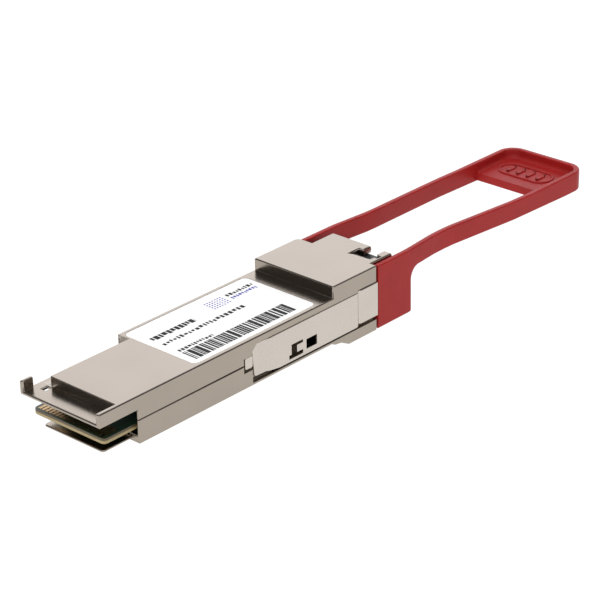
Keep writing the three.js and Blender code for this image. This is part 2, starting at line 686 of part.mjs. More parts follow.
function receptacle() {
  const { half, front, rear, bottom, top } = RECEPTACLE;
  const body = block([PORT_X - half, PORT_X + half], [front, rear], [bottom, top]);
  const reach = PORT_SIDE / 2;
  const portZ = [PORT_Z - reach, PORT_Z + reach];
  const port = block([PORT_X - reach, PORT_X + reach], [63.5, rear + 1], portZ);
  const bore = bar("y", [front - 1, 64], [PORT_X, PORT_Z], 1.6);
  const { left, right, front: windowFront, rear: windowRear } = LATCH_WINDOW;
  const catchY = [windowFront + 0.3, windowRear - 0.1];
  const catchPocket = block([left + 0.1, right - 0.1], catchY, [top - 1.2, top + 1]);
  return body.subtract(port).subtract(bore).subtract(catchPocket);
}

function ferruleSleeve() {
  const flange = bar("y", [60.05, 60.5], [PORT_X, PORT_Z], 2.3 - 0.55);
  const tube = bar("y", [60.3, 66], [PORT_X, PORT_Z], 1.5);
  const bore = bar("y", [61.5, 67], [PORT_X, PORT_Z], 0.65, 12);
  return flange.add(tube).subtract(bore);
}

function subassemblyClamp() {
  const ys = [60.55, 61.05];
  const plate = block([2.3, 7], ys, [3.7, 7.6]);
  const around = bar("y", [ys[0] - 1, ys[1] + 1], [PORT_X, PORT_Z], 1.55);
  const slot = block([PORT_X - 1.55, PORT_X + 1.55], [ys[0] - 1, ys[1] + 1], [PORT_Z, 9]);
  return plate.subtract(around).subtract(slot);
}

function opticalGasket() {
  const ys = [61.1, 61.55];
  const outer = bar("y", ys, [PORT_X, PORT_Z], 2.1);
  return outer.subtract(bar("y", [ys[0] - 1, ys[1] + 1], [PORT_X, PORT_Z], 1.55));
}

function laserFlex() {
  const thick = 0.15;
  const outline = outlineOf([
    [47.2, BOARD_TOP],
    [49.6, BOARD_TOP],
    [50.6, BOARD_TOP + 0.35],
    [51.1, BOARD_TOP + 1.3],
    [51.1, 7],
    [51.1 - thick, 7],
    [51.1 - thick, BOARD_TOP + 1.35],
    [50.5, BOARD_TOP + 0.48],
    [49.55, BOARD_TOP + thick],
    [47.2, BOARD_TOP + thick],
  ]);
  return carried(outline, [3.4, 5.9]);
}

function receiverFlex() {
  const upright = block([-1.85, -1.7], [56.6, 59], [BOARD_TOP, 7]);
  return upright.add(block([-4.2, -1.75], [47.5, 59], [BOARD_TOP, BOARD_TOP + 0.15]));
}

function addOptics() {
  add("optical_receptacle", "black_plastic", receptacle());
  add("duplexer_body", "spring_steel", block([2.35, 6.95], [55.6, 60], [3.7, 8]));
  add("laser_can", "gold", bar("y", [51.2, 55.55], [PORT_X, PORT_Z], 1.9));
  add("receiver_can", "gold", bar("x", [-1.6, 2.3], [57.8, PORT_Z], 1.8));
  add("ferrule_sleeve", "spring_steel", ferruleSleeve());
  add("subassembly_clamp", "spring_steel", subassemblyClamp());
  add("optical_gasket", "gasket", opticalGasket());
  add("laser_flex", "flex", laserFlex());
  add("receiver_flex", "flex", receiverFlex());
}

// --- Module ---------------------------------------------------------------------------

add("top_shell", "nickel", topShell());
add("bottom_shell", "nickel", bottomShell());
screwPlaces().forEach((place, i) => {
  add(`shell_screw_${i + 1}`, "spring_steel", shellScrew(place));
});
add("main_board", "board", mainBoard());
add("edge_contacts_top", "gold", edgeContacts([BOARD_TOP, BOARD_TOP + CONTACTS.thick]));
add("edge_contacts_bottom", "gold", edgeContacts([BOARD_BOTTOM - CONTACTS.thick, BOARD_BOTTOM]));
addBoardParts();
addOptics();
for (const [word, side] of [["right", 1], ["left", -1]]) {
  add(`slider_${word}`, "spring_steel", slide(side));
  add(`return_spring_${word}`, "spring_steel", returnSpring(side));
  add(`shell_gasket_${word}`, "gasket", shellGasket(side));
}
add("pull_tab", "red_plastic", pullTab());
const labelFloor = CASE_TOP - LABEL.recess;
add("label", "label", raised(labelOutline(0), [labelFloor, labelFloor + LABEL.thick], 5));

transceiver.position.set(0, -PULL.end / 2, -PULL.bottom);

export default transceiver;
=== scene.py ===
"""Looks for a pluggable optical transceiver: satin nickel case, latch slides and a red pull tab.

Places are given in millimetres in the case's own frame, in which Y counts from the front lip
and Z from the flat underside; case_point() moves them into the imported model's frame.
"""

import json
import math
import random

import bmesh
import bpy
from mathutils import Matrix, Vector
from mathutils.geometry import intersect_point_line


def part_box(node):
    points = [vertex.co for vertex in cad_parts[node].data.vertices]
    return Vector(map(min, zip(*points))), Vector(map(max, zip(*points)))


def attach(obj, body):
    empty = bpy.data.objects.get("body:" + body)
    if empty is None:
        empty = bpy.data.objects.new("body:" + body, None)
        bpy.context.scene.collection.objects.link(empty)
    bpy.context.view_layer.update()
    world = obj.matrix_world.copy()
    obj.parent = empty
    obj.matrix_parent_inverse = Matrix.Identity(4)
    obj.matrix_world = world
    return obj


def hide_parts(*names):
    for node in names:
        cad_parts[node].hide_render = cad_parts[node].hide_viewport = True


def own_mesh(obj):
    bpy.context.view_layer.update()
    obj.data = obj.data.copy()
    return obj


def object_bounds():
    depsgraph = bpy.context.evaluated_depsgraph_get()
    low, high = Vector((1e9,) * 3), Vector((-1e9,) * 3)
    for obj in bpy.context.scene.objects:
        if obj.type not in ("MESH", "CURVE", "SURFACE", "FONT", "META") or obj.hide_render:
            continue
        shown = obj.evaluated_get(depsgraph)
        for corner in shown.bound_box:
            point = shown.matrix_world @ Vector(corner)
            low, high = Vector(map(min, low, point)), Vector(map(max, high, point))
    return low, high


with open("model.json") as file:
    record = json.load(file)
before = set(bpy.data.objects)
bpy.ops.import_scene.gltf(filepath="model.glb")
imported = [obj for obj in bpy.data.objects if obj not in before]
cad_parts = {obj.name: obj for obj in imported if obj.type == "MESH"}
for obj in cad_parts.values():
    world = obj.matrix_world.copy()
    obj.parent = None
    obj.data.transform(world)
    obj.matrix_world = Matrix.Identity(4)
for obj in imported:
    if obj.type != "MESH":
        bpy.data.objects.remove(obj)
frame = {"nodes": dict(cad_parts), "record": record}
nodes = frame["nodes"]
cad_low, cad_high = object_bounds()

MM = 0.001
FOOT_DROP = 1.75 * MM
CASE_TOP = 8.5
LABEL_TOP = 8.48
CASE_ORIGIN = Vector((0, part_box("top_shell")[0].y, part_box("pull_tab")[0].z + FOOT_DROP))

# Camera: its angles in degrees, and its distance, aim and offset from the aim in millimetres.
AZIMUTH = 42.778
ELEVATION = 25.557
ROLL = -1.24
DISTANCE = 400.6
AIM = (0, 45, 4)
AIM_OFFSET = (7.4346, 4.4228)
LENS = 141.5


def case_point(x, y, z):
    return CASE_ORIGIN + Vector((x, y, z)) * MM


def link(name, mesh):
    piece = bpy.data.objects.new(name, mesh)
    bpy.context.scene.collection.objects.link(piece)
    return piece


# --- Shader nodes -------------------------------------------------------------------

# Most of a noise texture's values lie in this range.
NOISE_RANGE = (0.3, 0.7)


class Looks:
    """One procedural material, with short calls for the shader nodes used here."""

    def __init__(self, name, color, metallic=0.0, roughness=0.5):
        self.material = bpy.data.materials.new(name)
        self.material.use_nodes = True
        self.tree = self.material.node_tree
        self.shader = self.tree.nodes["Principled BSDF"]
        self.shader.inputs["Base Color"].default_value = (*color, 1)
        self.shader.inputs["Metallic"].default_value = metallic
        self.shader.inputs["Roughness"].default_value = roughness
        self.coordinates = self.add("ShaderNodeTexCoord").outputs["Object"]

    def add(self, kind, settings=None, **inputs):
        node = self.tree.nodes.new(kind)
        for key, value in (settings or {}).items():
            setattr(node, key, value)
        for key, value in inputs.items():
            self.feed(value, node.inputs[key.replace("_", " ")])
        return node

    def feed(self, value, socket):
        if isinstance(value, bpy.types.NodeSocket):
            self.tree.links.new(value, socket)
        else:
            socket.default_value = value

    def scaled(self, per_mm):
        """Object coordinates, with one unit for each feature along X, Y and Z."""
        if not isinstance(per_mm, tuple):
            per_mm = (per_mm,) * 3
        scale = tuple(value / MM for value in per_mm)
        return self.add("ShaderNodeMapping", Vector=self.coordinates, Scale=scale).outputs[0]

    def noise(self, per_mm, detail=3.0, rough=0.55):
        node = self.add(
            "ShaderNodeTexNoise",
            Vector=self.scaled(per_mm),
            Scale=1.0,
            Detail=detail,
            Roughness=rough,
        )
        return node.outputs[0]

    def spread(self, value, low, high, to_low=0.0, to_high=1.0):
        node = self.add("ShaderNodeMapRange", Value=value)
        for index, number in enumerate((low, high, to_low, to_high), start=1):
            node.inputs[index].default_value = number
        return node.outputs[0]

    def math(self, operation, first, second=0.0, third=0.0):
        node = self.add("ShaderNodeMath", {"operation": operation})
        for socket, value in zip(node.inputs, (first, second, third)):
            self.feed(value, socket)
        return node.outputs[0]

    def blend(self, share, first, second):
        node = self.add("ShaderNodeMix", {"data_type": "RGBA"})
        colors = [socket for socket in node.inputs if socket.type == "RGBA"]
        self.feed(share, node.inputs[0])
        for socket, color in zip(colors, (first, second)):
            self.feed(color if isinstance(color, bpy.types.NodeSocket) else (*color, 1), socket)
        return next(socket for socket in node.outputs if socket.type == "RGBA")

    def place(self):
        """Separate X, Y and Z of the object coordinates, in metres."""
        return self.add("ShaderNodeSeparateXYZ", Vector=self.coordinates).outputs

    def color(self, value):
        self.feed(value, self.shader.inputs["Base Color"])

    def vary_color(self, noise, first, second, span=NOISE_RANGE):
        """Runs from the first colour to the second over the span of the noise."""
        self.color(self.blend(self.spread(noise, *span), first, second))

    def vary_roughness(self, noise, low, high):
        varied = self.spread(noise, *NOISE_RANGE, low, high)
        self.feed(varied, self.shader.inputs["Roughness"])

    def specular(self, level):
        self.shader.inputs["Specular IOR Level"].default_value = level

    def bump(self, height, distance, strength=1.0):
        """Distance is the relief's depth in millimetres."""
        node = self.add("ShaderNodeBump", Height=height, Strength=strength, Distance=distance * MM)
        earlier = self.shader.inputs["Normal"].links
        if earlier:
            self.tree.links.new(earlier[0].from_socket, node.inputs["Normal"])
        self.tree.links.new(node.outputs[0], self.shader.inputs["Normal"])


def tint(color, factor):
    return tuple(min(1.0, channel * factor) for channel in color)


# --- Materials ----------------------------------------------------------------------

NICKEL = (0.355, 0.308, 0.258)
STEEL = (0.56, 0.51, 0.455)
RED = (0.33, 0.0125, 0.011)
GOLD = (0.44, 0.29, 0.14)
SOLDER_MASK = (0.006, 0.02, 0.012)
TRACK = (0.011, 0.034, 0.018)

# Heights between which the board's edge turns from a paler band below to a darker band above.
BOARD_LINE = (2.74, 2.84)


def nickel_plating():
    looks = Looks("nickel_plating", NICKEL, metallic=1.0, roughness=0.22)
    clouds = looks.noise(0.09, detail=4.0)
    grain = looks.noise(7.0, detail=2.0)
    looks.vary_color(clouds, tint(NICKEL, 0.97), tint(NICKEL, 1.03))
    looks.vary_roughness(grain, 0.2, 0.25)
    looks.bump(grain, 0.0002, 0.25)
    looks.bump(clouds, 0.015, 0.2)
    return looks.material


def stamped_steel():
    looks = Looks("stamped_steel", STEEL, metallic=1.0, roughness=0.28)
    rolling = looks.noise((3.0, 0.12, 6.0), detail=3.0)
    clouds = looks.noise(0.12)
    looks.vary_color(clouds, tint(STEEL, 0.97), tint(STEEL, 1.03))
    looks.vary_roughness(rolling, 0.26, 0.28)
    looks.bump(rolling, 0.0001, 0.1)
    return looks.material


def machined_steel():
    looks = Looks("machined_steel", (0.42, 0.41, 0.4), metallic=1.0, roughness=0.32)
    turning = looks.noise((4.0, 4.0, 9.0), detail=2.0)
    looks.vary_roughness(turning, 0.24, 0.4)
    looks.bump(turning, 0.0015, 0.3)
    return looks.material


def red_plastic():
    looks = Looks("red_plastic", RED, roughness=0.46)
    looks.specular(0.22)
    clouds = looks.noise(0.22, detail=4.0)
    spark = looks.noise(4.5, detail=3.0, rough=0.6)
    looks.vary_color(clouds, tint(RED, 0.93), tint(RED, 1.07))
    looks.vary_roughness(spark, 0.4, 0.54)
    looks.bump(spark, 0.006, 0.4)
    looks.bump(clouds, 0.03, 0.2)
    return looks.material


def black_plastic():
    looks = Looks("black_plastic", (0.02, 0.02, 0.021), roughness=0.48)
    spark = looks.noise(5.0)
    looks.vary_roughness(spark, 0.4, 0.58)
    looks.bump(spark, 0.005, 0.4)
    return looks.material


def circuit_board():
    """Solder mask over faint tracks on the faces, and a paler band below a darker band on the edges.
    """
    looks = Looks("circuit_board", SOLDER_MASK, roughness=0.35)
    tracks = looks.add(
        "ShaderNodeTexBrick",
        {"offset": 0.5},
        Vector=looks.scaled((0.8, 0.25, 1.0)),
        Scale=1.0,
        Mortar_Size=0.12,
    ).outputs["Fac"]
    face = looks.blend(tracks, SOLDER_MASK, TRACK)
    weave = looks.spread(looks.noise((6.0, 6.0, 14.0), detail=2.0), 0.35, 0.65)
    pale_lower_band = looks.blend(weave, (0.3, 0.22, 0.09), (0.4, 0.31, 0.15))
    dark_upper_band = looks.blend(weave, (0.05, 0.035, 0.015), (0.12, 0.085, 0.035))
    # The board's edge is coloured paler below BOARD_LINE and darker above it, by height alone.
    line = (case_point(0, 0, level).z for level in BOARD_LINE)
    edge = looks.blend(looks.spread(looks.place()["Z"], *line), pale_lower_band, dark_upper_band)
    normal = looks.add("ShaderNodeNewGeometry").outputs["True Normal"]
    upright = looks.add("ShaderNodeSeparateXYZ", Vector=normal).outputs["Z"]
    is_face = looks.math("GREATER_THAN", looks.math("ABSOLUTE", upright), 0.6)
    looks.color(looks.blend(is_face, edge, face))
    looks.bump(tracks, 0.02, 0.4)
    return looks.material


def gold_plating():
    looks = Looks("gold_plating", GOLD, metallic=1.0, roughness=0.28)
    clouds = looks.noise(1.2)
    looks.vary_color(clouds, tint(GOLD, 0.9), tint(GOLD, 1.08))
    looks.vary_roughness(looks.noise(8.0), 0.2, 0.36)
    return looks.material


def chip_package():
    looks = Looks("chip_package", (0.022, 0.022, 0.024), roughness=0.6)
    grain = looks.noise(9.0)
    looks.vary_roughness(grain, 0.5, 0.68)
    looks.bump(grain, 0.006, 0.5)
    return looks.material


def ceramic():
    looks = Looks("ceramic", (0.42, 0.33, 0.22), roughness=0.5)
    grain = looks.noise(6.0)
    looks.vary_color(grain, (0.36, 0.28, 0.18), (0.48, 0.39, 0.27))
    return looks.material


def thermal_pad():
    looks = Looks("thermal_pad", (0.24, 0.3, 0.34), roughness=0.85)
    grain = looks.noise(3.0, detail=5.0)
    looks.vary_color(grain, (0.2, 0.26, 0.3), (0.29, 0.35, 0.4))
    looks.bump(grain, 0.03, 0.5)
    return looks.material


def flex_circuit():
    looks = Looks("flex_circuit", (0.35, 0.13, 0.025), roughness=0.35)
    stripes = looks.add("ShaderNodeTexWave", {"bands_direction": "X"}, Vector=looks.scaled(1.0))
    stripes.inputs["Scale"].default_value = 0.8
    share = looks.spread(stripes.outputs["Fac"], 0.5, 0.7)
    looks.color(looks.blend(share, (0.3, 0.11, 0.02), (0.5, 0.24, 0.06)))
    return looks.material


def conductive_gasket():
    looks = Looks("conductive_gasket", (0.09, 0.09, 0.1), metallic=0.3, roughness=0.8)
    grain = looks.noise(7.0)
    looks.bump(grain, 0.02, 0.6)
    looks.vary_roughness(grain, 0.7, 0.9)
    return looks.material


def label_film():
    looks = Looks("label_film", (0.93, 0.92, 0.89), roughness=0.5)
    fibres = looks.noise(4.0, detail=4.0)
    looks.vary_color(fibres, (0.92, 0.91, 0.88), (0.95, 0.94, 0.91))
    looks.bump(fibres, 0.001, 0.3)
    return looks.material


def ink(name, color):
    looks = Looks(name, color, roughness=0.6)
    looks.specular(0.15)
    speckle = looks.noise(12.0, detail=2.0)
    looks.vary_color(speckle, color, tint(color, 1.6), span=(0.35, 0.7))
    return looks.material


MATERIALS = {
    "case_metal": nickel_plating(),
    "spring_steel": stamped_steel(),
    "steel_parts": machined_steel(),
    "red_plastic": red_plastic(),
    "black_plastic": black_plastic(),
    "circuit_board": circuit_board(),
    "gold_plating": gold_plating(),
    "chip_package": chip_package(),
    "ceramic_parts": ceramic(),
    "thermal_pad": thermal_pad(),
    "flex_circuit": flex_circuit(),
    "label_film": label_film(),
    "gasket": conductive_gasket(),
}
SLOTS = {part["node"]: part["material_slot"] for part in frame["record"]["subparts"]}
BODY_OF = {
    node: body
    for body, members in frame["record"]["behaviour"]["bodies"].items()
    for node in members
}


def dress_node(node):
    nodes[node].data.materials.clear()
    nodes[node].data.materials.append(MATERIALS[SLOTS[node]])


# --- Rounded copies of CAD nodes ----------------------------------------------------

# Faces that meet at less than FLAT are one flat area, and edges sharper than RIM are rounded.
FLAT = math.radians(1.5)
RIM = math.radians(35)
# Shares of the gap to the next edge that a rounding takes, where that edge is rounded or not.
SHARED_GAP = 0.45
FREE_GAP = 0.9
# Edges that lie further along than this many gaps leave each other alone.
REACH = 1.5
# The bevel's own width, of which each edge's weight is a share.
WIDEST = 1.0
# How far a normal leans towards a direction that its face is said to look in.
FACING = 0.7


def join_flat_faces(shape):
    bmesh.ops.dissolve_limit(
        shape,
        angle_limit=FLAT,
        verts=shape.verts,
        edges=shape.edges,
        delimit={"SEAM"},
    )


def cut_across(shape, y):
    """Cuts the faces at a distance from the lip, and returns the new points and edges."""
    everything = [*shape.verts, *shape.edges, *shape.faces]
    level = case_point(0, y, 0)
    cut = bmesh.ops.bisect_plane(shape, geom=everything, plane_co=level, plane_no=(0, 1, 0))
    return cut["geom_cut"]


def split_across(shape, y):
    """Cuts along seams, which stay when flat faces are joined."""
    for piece in cut_across(shape, y):
        if isinstance(piece, bmesh.types.BMEdge):
            piece.seam = True


def merged_copy(node, split=None):
    """The node's facets as a bmesh, with flat areas joined into faces that have no hole."""
    shape = bmesh.new()
    shape.from_mesh(nodes[node].data)
    bmesh.ops.remove_doubles(shape, verts=shape.verts, dist=1e-6)
    if split:
        split_across(shape, split)
    join_flat_faces(shape)
    return shape


def flat_areas(shape):
    """Gives each face the number of the flat area that it is part of."""
    area_of = {}
    for first in shape.faces:
        if first in area_of:
            continue
        number = len(area_of)
        area_of[first] = number
        waiting = [first]
        while waiting:
            face = waiting.pop()
            for edge in face.edges:
                for other in edge.link_faces:
                    level = face.normal.angle(other.normal, 0.0) < FLAT
                    if level and other not in area_of:
                        area_of[other] = number
                        waiting.append(other)
    return area_of


def gap_between(edge, other):
    """The distance straight across from one edge to another, or None if it lies further along."""
    start, end = (vert.co for vert in edge.verts)
    along = (end - start).normalized()
    gaps = []
    for share in (0.1, 0.5, 0.9):
        point = start.lerp(end, share)
        low, high = (vert.co for vert in other.verts)
        nearest, part = intersect_point_line(point, low, high)
        nearest = low.lerp(high, min(1.0, max(0.0, part)))
        reach = nearest - point
        forward = abs(reach.dot(along))
        across = (reach - along * reach.dot(along)).length
        if forward < REACH * across:
            gaps.append(across)
    return min(gaps, default=None)


def rounding_room(edge, rims, width_of):
    """How far an edge can be rounded before it meets the rounding of the next edge."""
    room = math.inf
    for other in rims:
        if set(edge.verts) & set(other.verts):
            continue
        gap = gap_between(edge, other)
        if gap is not None:
            room = min(room, gap * (SHARED_GAP if width_of(other) > 0 else FREE_GAP))
    return room


def weigh_edges(shape, width_of):
    """Sets how far each edge is rounded, alike all along the line where two flat areas meet."""
    weight = shape.edges.layers.float.new("bevel_weight_edge")
    area_of = flat_areas(shape)
    rims, lines = {}, {}
    for edge in shape.edges:
        if len(edge.link_faces) == 2 and edge.calc_face_angle() > RIM:
            areas = frozenset(area_of[face] for face in edge.link_faces)
            lines.setdefault(areas, []).append(edge)
            for area in areas:
                rims.setdefault(area, []).append(edge)
    for areas, members in lines.items():
        nearby = [other for area in areas for other in rims[area]]
        room = min(rounding_room(edge, nearby, width_of) for edge in members)
        for edge in members:
            edge[weight] = min(width_of(edge), room / MM) / WIDEST
            edge.smooth = edge[weight] > 0


def finish_piece(piece, body, slot, standing_for):
    for face in piece.data.polygons:
        face.use_smooth = True
    piece.data.materials.clear()
    piece.data.materials.append(MATERIALS[slot])
    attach(piece, body)
    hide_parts(standing_for)


def add_bevel(piece):
    bevel = piece.modifiers.new("rounded_edges", "BEVEL")
    bevel.width = WIDEST * MM
    bevel.segments = 3
    bevel.limit_method = "WEIGHT"
    bevel.use_clamp_overlap = False
    bevel.loop_slide = False


def keep_faces_flat(piece):
    normals = piece.modifiers.new("flat_faces_stay_flat", "WEIGHTED_NORMAL")
    normals.keep_sharp = True
    normals.weight = 80


def soften(node, width, hollow=0.0, reshape=None, special=None, split=None):
    """Stands in for a node with its outer edges rounded by width and its inner ones by hollow."""

    def width_of(edge):
        own = special(edge) if special else None
        if own is not None:
            return own
        return width if edge.calc_face_angle_signed() > 0 else hollow

    shape = merged_copy(node, split)
    weigh_edges(shape, width_of)
    mesh = bpy.data.meshes.new(f"{node}_look")
    shape.to_mesh(mesh)
    shape.free()
    piece = link(f"{node}_look", mesh)
    add_bevel(piece)
    if reshape:
        reshape(piece)
    keep_faces_flat(piece)
    finish_piece(piece, BODY_OF[node], SLOTS[node], node)


def middle_of(edge):
    """The middle of an edge, in millimetres in the case's frame."""
    return (sum((vert.co for vert in edge.verts), Vector()) / 2 - CASE_ORIGIN) / MM


# --- Case ---------------------------------------------------------------------------

# Boxes and levels in which the case's edges have a width of their own, "edge". Edges in the
# box INSIDE stay sharp, and the special widths are on the outer RIM_BAND of the sides.
CASE_SIDE = 9.17
RIM_BAND = 0.8
INSIDE = {"side": 8.9, "bottom": 0.5, "top": 8.0, "front": 8.2, "rear": 60.0}
RIDGE = {"bottom": 7.2, "edge": 0.28}
STEP = {"y": 4.16, "edge": 0.12}
RECESS = {"bottom": 0.45, "top": 7.25, "edge": 0.1}
POCKET = {"front": 32.2, "rear": 34.9, "bottom": 2.7, "top": 5.6, "edge": 0.04}


def within(middle, box):
    along = box["front"] < middle.y < box["rear"]
    return along and box["bottom"] < middle.z < box["top"]


def case_edge(edge):
    """Special widths: hidden inner edges stay as they are and the long ridges are rounder."""
    middle = middle_of(edge)
    across = abs(middle.x)
    if across < INSIDE["side"] and within(middle, INSIDE):
        return 0.0
    if abs(middle.y - STEP["y"]) < 0.1 and middle.z > CASE_TOP - 0.1:
        return STEP["edge"]
    if across < CASE_SIDE - RIM_BAND:
        return None
    if within(middle, POCKET):
        return POCKET["edge"]
    if min(abs(middle.z - RECESS["bottom"]), abs(middle.z - RECESS["top"])) < 0.02:
        return RECESS["edge"]
    upper = any(face.normal.z > FACING for face in edge.link_faces)
    if upper and across > CASE_SIDE - 0.02 and middle.z > RIDGE["bottom"]:
        return RIDGE["edge"]
    return None


# --- Latch slides -------------------------------------------------------------------

# A slide's outer skin lies beyond SKIN_FROM, and the crease is pressed into it.
SKIN_FROM = 8.55
WINDOWS = {"front": 42.9, "rear": 51.1, "bottom": 1.0, "top": 3.9, "edge": 0.04}
TONGUE_REAR = 34.7
CREASE = {"y": 61.25, "half": 0.28, "depth": 0.2, "cuts": 5}


def slide_edge(edge):
    """Special widths: the punched windows and the narrow tongue keep nearly sharp edges."""
    middle = middle_of(edge)
    if within(middle, WINDOWS) or middle.y < TONGUE_REAR:
        return WINDOWS["edge"]
    return None


def crease_slide(piece):
    """Presses a crease into a slide where its strap begins."""
    shape = bmesh.new()
    shape.from_object(piece, bpy.context.evaluated_depsgraph_get())
    bmesh.ops.triangulate(shape, faces=shape.faces)
    for step in range(-CREASE["cuts"], CREASE["cuts"] + 1):
        cut_across(shape, CREASE["y"] + CREASE["half"] * step / 2)
    for vert in shape.verts:
        if abs(vert.co.x) / MM > SKIN_FROM:
            away = ((vert.co.y - CASE_ORIGIN.y) / MM - CREASE["y"]) / CREASE["half"]
            depth = CREASE["depth"] * math.exp(-away * away) * MM
            vert.co.x -= math.copysign(depth, vert.co.x)
    piece.modifiers.clear()
    shape.to_mesh(piece.data)
    shape.free()


# --- Pull tab -----------------------------------------------------------------------

# Where the tab's edges have a width of their own: "front" and "rear" bound each stretch.
PLATE_FRONT = {"rear": 66.7, "edge": 0.1}
ARM_INSIDE = {"front": 77.0, "edge": 0.6}
PAD = {"front": 115.1, "middle": 120.6, "side": 8.06}


def tab_edge(edge):
    """Special widths: the plates' and the pad's front edges stay crisp, inner edges stay as
    they are, and the arms are eased underneath."""
    middle = middle_of(edge)
    if middle.y < PLATE_FRONT["rear"]:
        return PLATE_FRONT["edge"]
    pad_front = abs(middle.y - PAD["front"]) < 0.02 and abs(middle.x) < PAD["side"]
    if pad_front or edge.calc_face_angle_signed() < 0:
        return 0.0
    inward = any(face.normal.x * middle.x < -FACING * abs(middle.x) for face in edge.link_faces)
    below = any(face.normal.z < -FACING for face in edge.link_faces)
    if inward and below and middle.y > ARM_INSIDE["front"]:
        return ARM_INSIDE["edge"]
    return None


# --- Springs ------------------------------------------------------------------------

# The free spring, from the slide's lug to its fixed rear end.
SPRING = {"front": 46.62, "rear": 57.95, "x": 7.6, "z": 3.2, "radius": 0.64, "wire": 0.14, "turns": 9}
STEPS_PER_TURN = 24
WIRE_SIDES = 10


def tube(name, points, radius):
    """A round wire through the points, closed at both ends."""
    # A direction close to the coil's axis, which the wire never runs along.
    axis = Vector((0, 1, 0.013))
    shape = bmesh.new()
    rings = []
    for index, point in enumerate(points):
        ahead = points[min(index + 1, len(points) - 1)]
        behind = points[max(index - 1, 0)]
        along = (ahead - behind).normalized()
        across = along.cross(axis).normalized()
        over = along.cross(across)
        ring = []
        for side in range(WIRE_SIDES):
            turn = 2 * math.pi * side / WIRE_SIDES
            offset = across * math.cos(turn) + over * math.sin(turn)
            ring.append(shape.verts.new(point + offset * radius))
        rings.append(ring)
    for first, second in zip(rings, rings[1:]):
        for side in range(WIRE_SIDES):
            after = (side + 1) % WIRE_SIDES
            shape.faces.new((first[side], first[after], second[after], second[side]))
    shape.faces.new(rings[0])
    shape.faces.new(reversed(rings[-1]))
    bmesh.ops.recalc_face_normals(shape, faces=shape.faces)
    mesh = bpy.data.meshes.new(name)
    shape.to_mesh(mesh)
    shape.free()
    return link(name, mesh)


def return_spring(word, side):
    """A coil whose turns lie closer together at both ends."""
    points = []
    steps = SPRING["turns"] * STEPS_PER_TURN
    free = SPRING["rear"] - SPRING["front"]
    length = free - 2 * SPRING["wire"]
    for step in range(steps + 1):
        share = step / steps
        turn = 2 * math.pi * SPRING["turns"] * share
        closed = 0.5 * math.sin(2 * math.pi * share) / (2 * math.pi)
        y = SPRING["front"] + SPRING["wire"] + length * (share - closed)
        x = side * SPRING["x"] + SPRING["radius"] * math.cos(turn)
        z = SPRING["z"] + SPRING["radius"] * math.sin(turn)
        points.append(case_point(x, y, z))
    piece = tube(f"return_spring_{word}_look", points, SPRING["wire"] * MM)
    finish_piece(piece, "module", "spring_steel", f"return_spring_{word}")
    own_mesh(piece)


# --- Label --------------------------------------------------------------------------

# Thickness and colours of the print, and the widths of the bars and gaps in the bar code.
INK_HEIGHT = 0.012
BLACK_INK = (0.014, 0.014, 0.014)
BOLD_INK = (0.01, 0.01, 0.01)
BLUE_INK = (0.06, 0.06, 0.3)
BARS = (0.2, 0.3, 0.45, 0.8)
BAR_GAPS = (0.12, 0.18, 0.3)
BLOCK_FACES = ((3, 2, 1, 0), (4, 5, 6, 7), (0, 1, 5, 4), (1, 2, 6, 5), (2, 3, 7, 6), (3, 0, 4, 7))


def plate(shape, xs, ys):
    """Adds a thin flat block of ink on the label."""
    low = case_point(xs[0], ys[0], LABEL_TOP)
    high = case_point(xs[1], ys[1], LABEL_TOP + INK_HEIGHT)
    corners = [
        shape.verts.new((x, y, level))
        for level in (low.z, high.z)
        for x, y in ((low.x, low.y), (high.x, low.y), (high.x, high.y), (low.x, high.y))
    ]
    for face in BLOCK_FACES:
        shape.faces.new([corners[index] for index in face])


def ink_piece(name, shape, material):
    """Makes the blocks one piece on the label, which isn't mirrored in the metal."""
    mesh = bpy.data.meshes.new(name)
    shape.to_mesh(mesh)
    shape.free()
    piece = link(name, mesh)
    piece.data.materials.append(material)
    piece.visible_glossy = False
    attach(piece, "module")


def bar_code(shape, xs, ys, seed):
    """Bars of chance widths, which encode nothing."""
    chance = random.Random(seed)
    y = ys[0]
    while y < ys[1]:
        width = chance.choice(BARS)
        plate(shape, xs, (y, min(y + width, ys[1])))
        y += width + chance.choice(BAR_GAPS)


def dash_row(shape, xs, ys, seed, gap):
    """A row of short blocks, standing in for a line of print."""
    chance = random.Random(seed)
    y = ys[0]
    size = xs[1] - xs[0]
    while y < ys[1]:
        width = size * chance.choice((0.4, 0.55, 0.7))
        low = xs[0] + size * chance.choice((0.0, 0.0, 0.25))
        high = xs[1] - size * chance.choice((0.0, 0.0, 0.2))
        plate(shape, (low, high), (y, min(y + width, ys[1])))
        y += width + size * gap


def dot_grid(shape, centre, rows, columns, pitch, size):
    for row in range(rows):
        for column in range(columns):
            x = centre[0] + (row - (rows - 1) / 2) * pitch
            y = centre[1] + (column - (columns - 1) / 2) * pitch
            plate(shape, (x - size / 2, x + size / 2), (y - size / 2, y + size / 2))


def print_label():
    dark = bmesh.new()
    bar_code(dark, (3.8, 7.2), (23.5, 47.4), seed=4)
    dash_row(dark, (2.6, 3.4), (23.6, 31.5), seed=7, gap=0.3)
    dash_row(dark, (-1.1, -0.1), (23.6, 43.0), seed=11, gap=0.32)
    dash_row(dark, (-6.0, -5.1), (43.6, 50.2), seed=23, gap=0.3)
    ink_piece("label_print_dark", dark, ink("dark_ink", BLACK_INK))
    bold = bmesh.new()
    dash_row(bold, (-3.9, -2.6), (23.6, 33.6), seed=15, gap=0.16)
    ink_piece("label_print_bold", bold, ink("bold_ink", BOLD_INK))
    blue = bmesh.new()
    dot_grid(blue, (-4.7, 40.6), rows=5, columns=7, pitch=0.62, size=0.3)
    dash_row(blue, (-4.6, -3.8), (43.6, 49.6), seed=31, gap=0.3)
    ink_piece("label_print_blue", blue, ink("blue_ink", BLUE_INK))


# --- Studio -------------------------------------------------------------------------

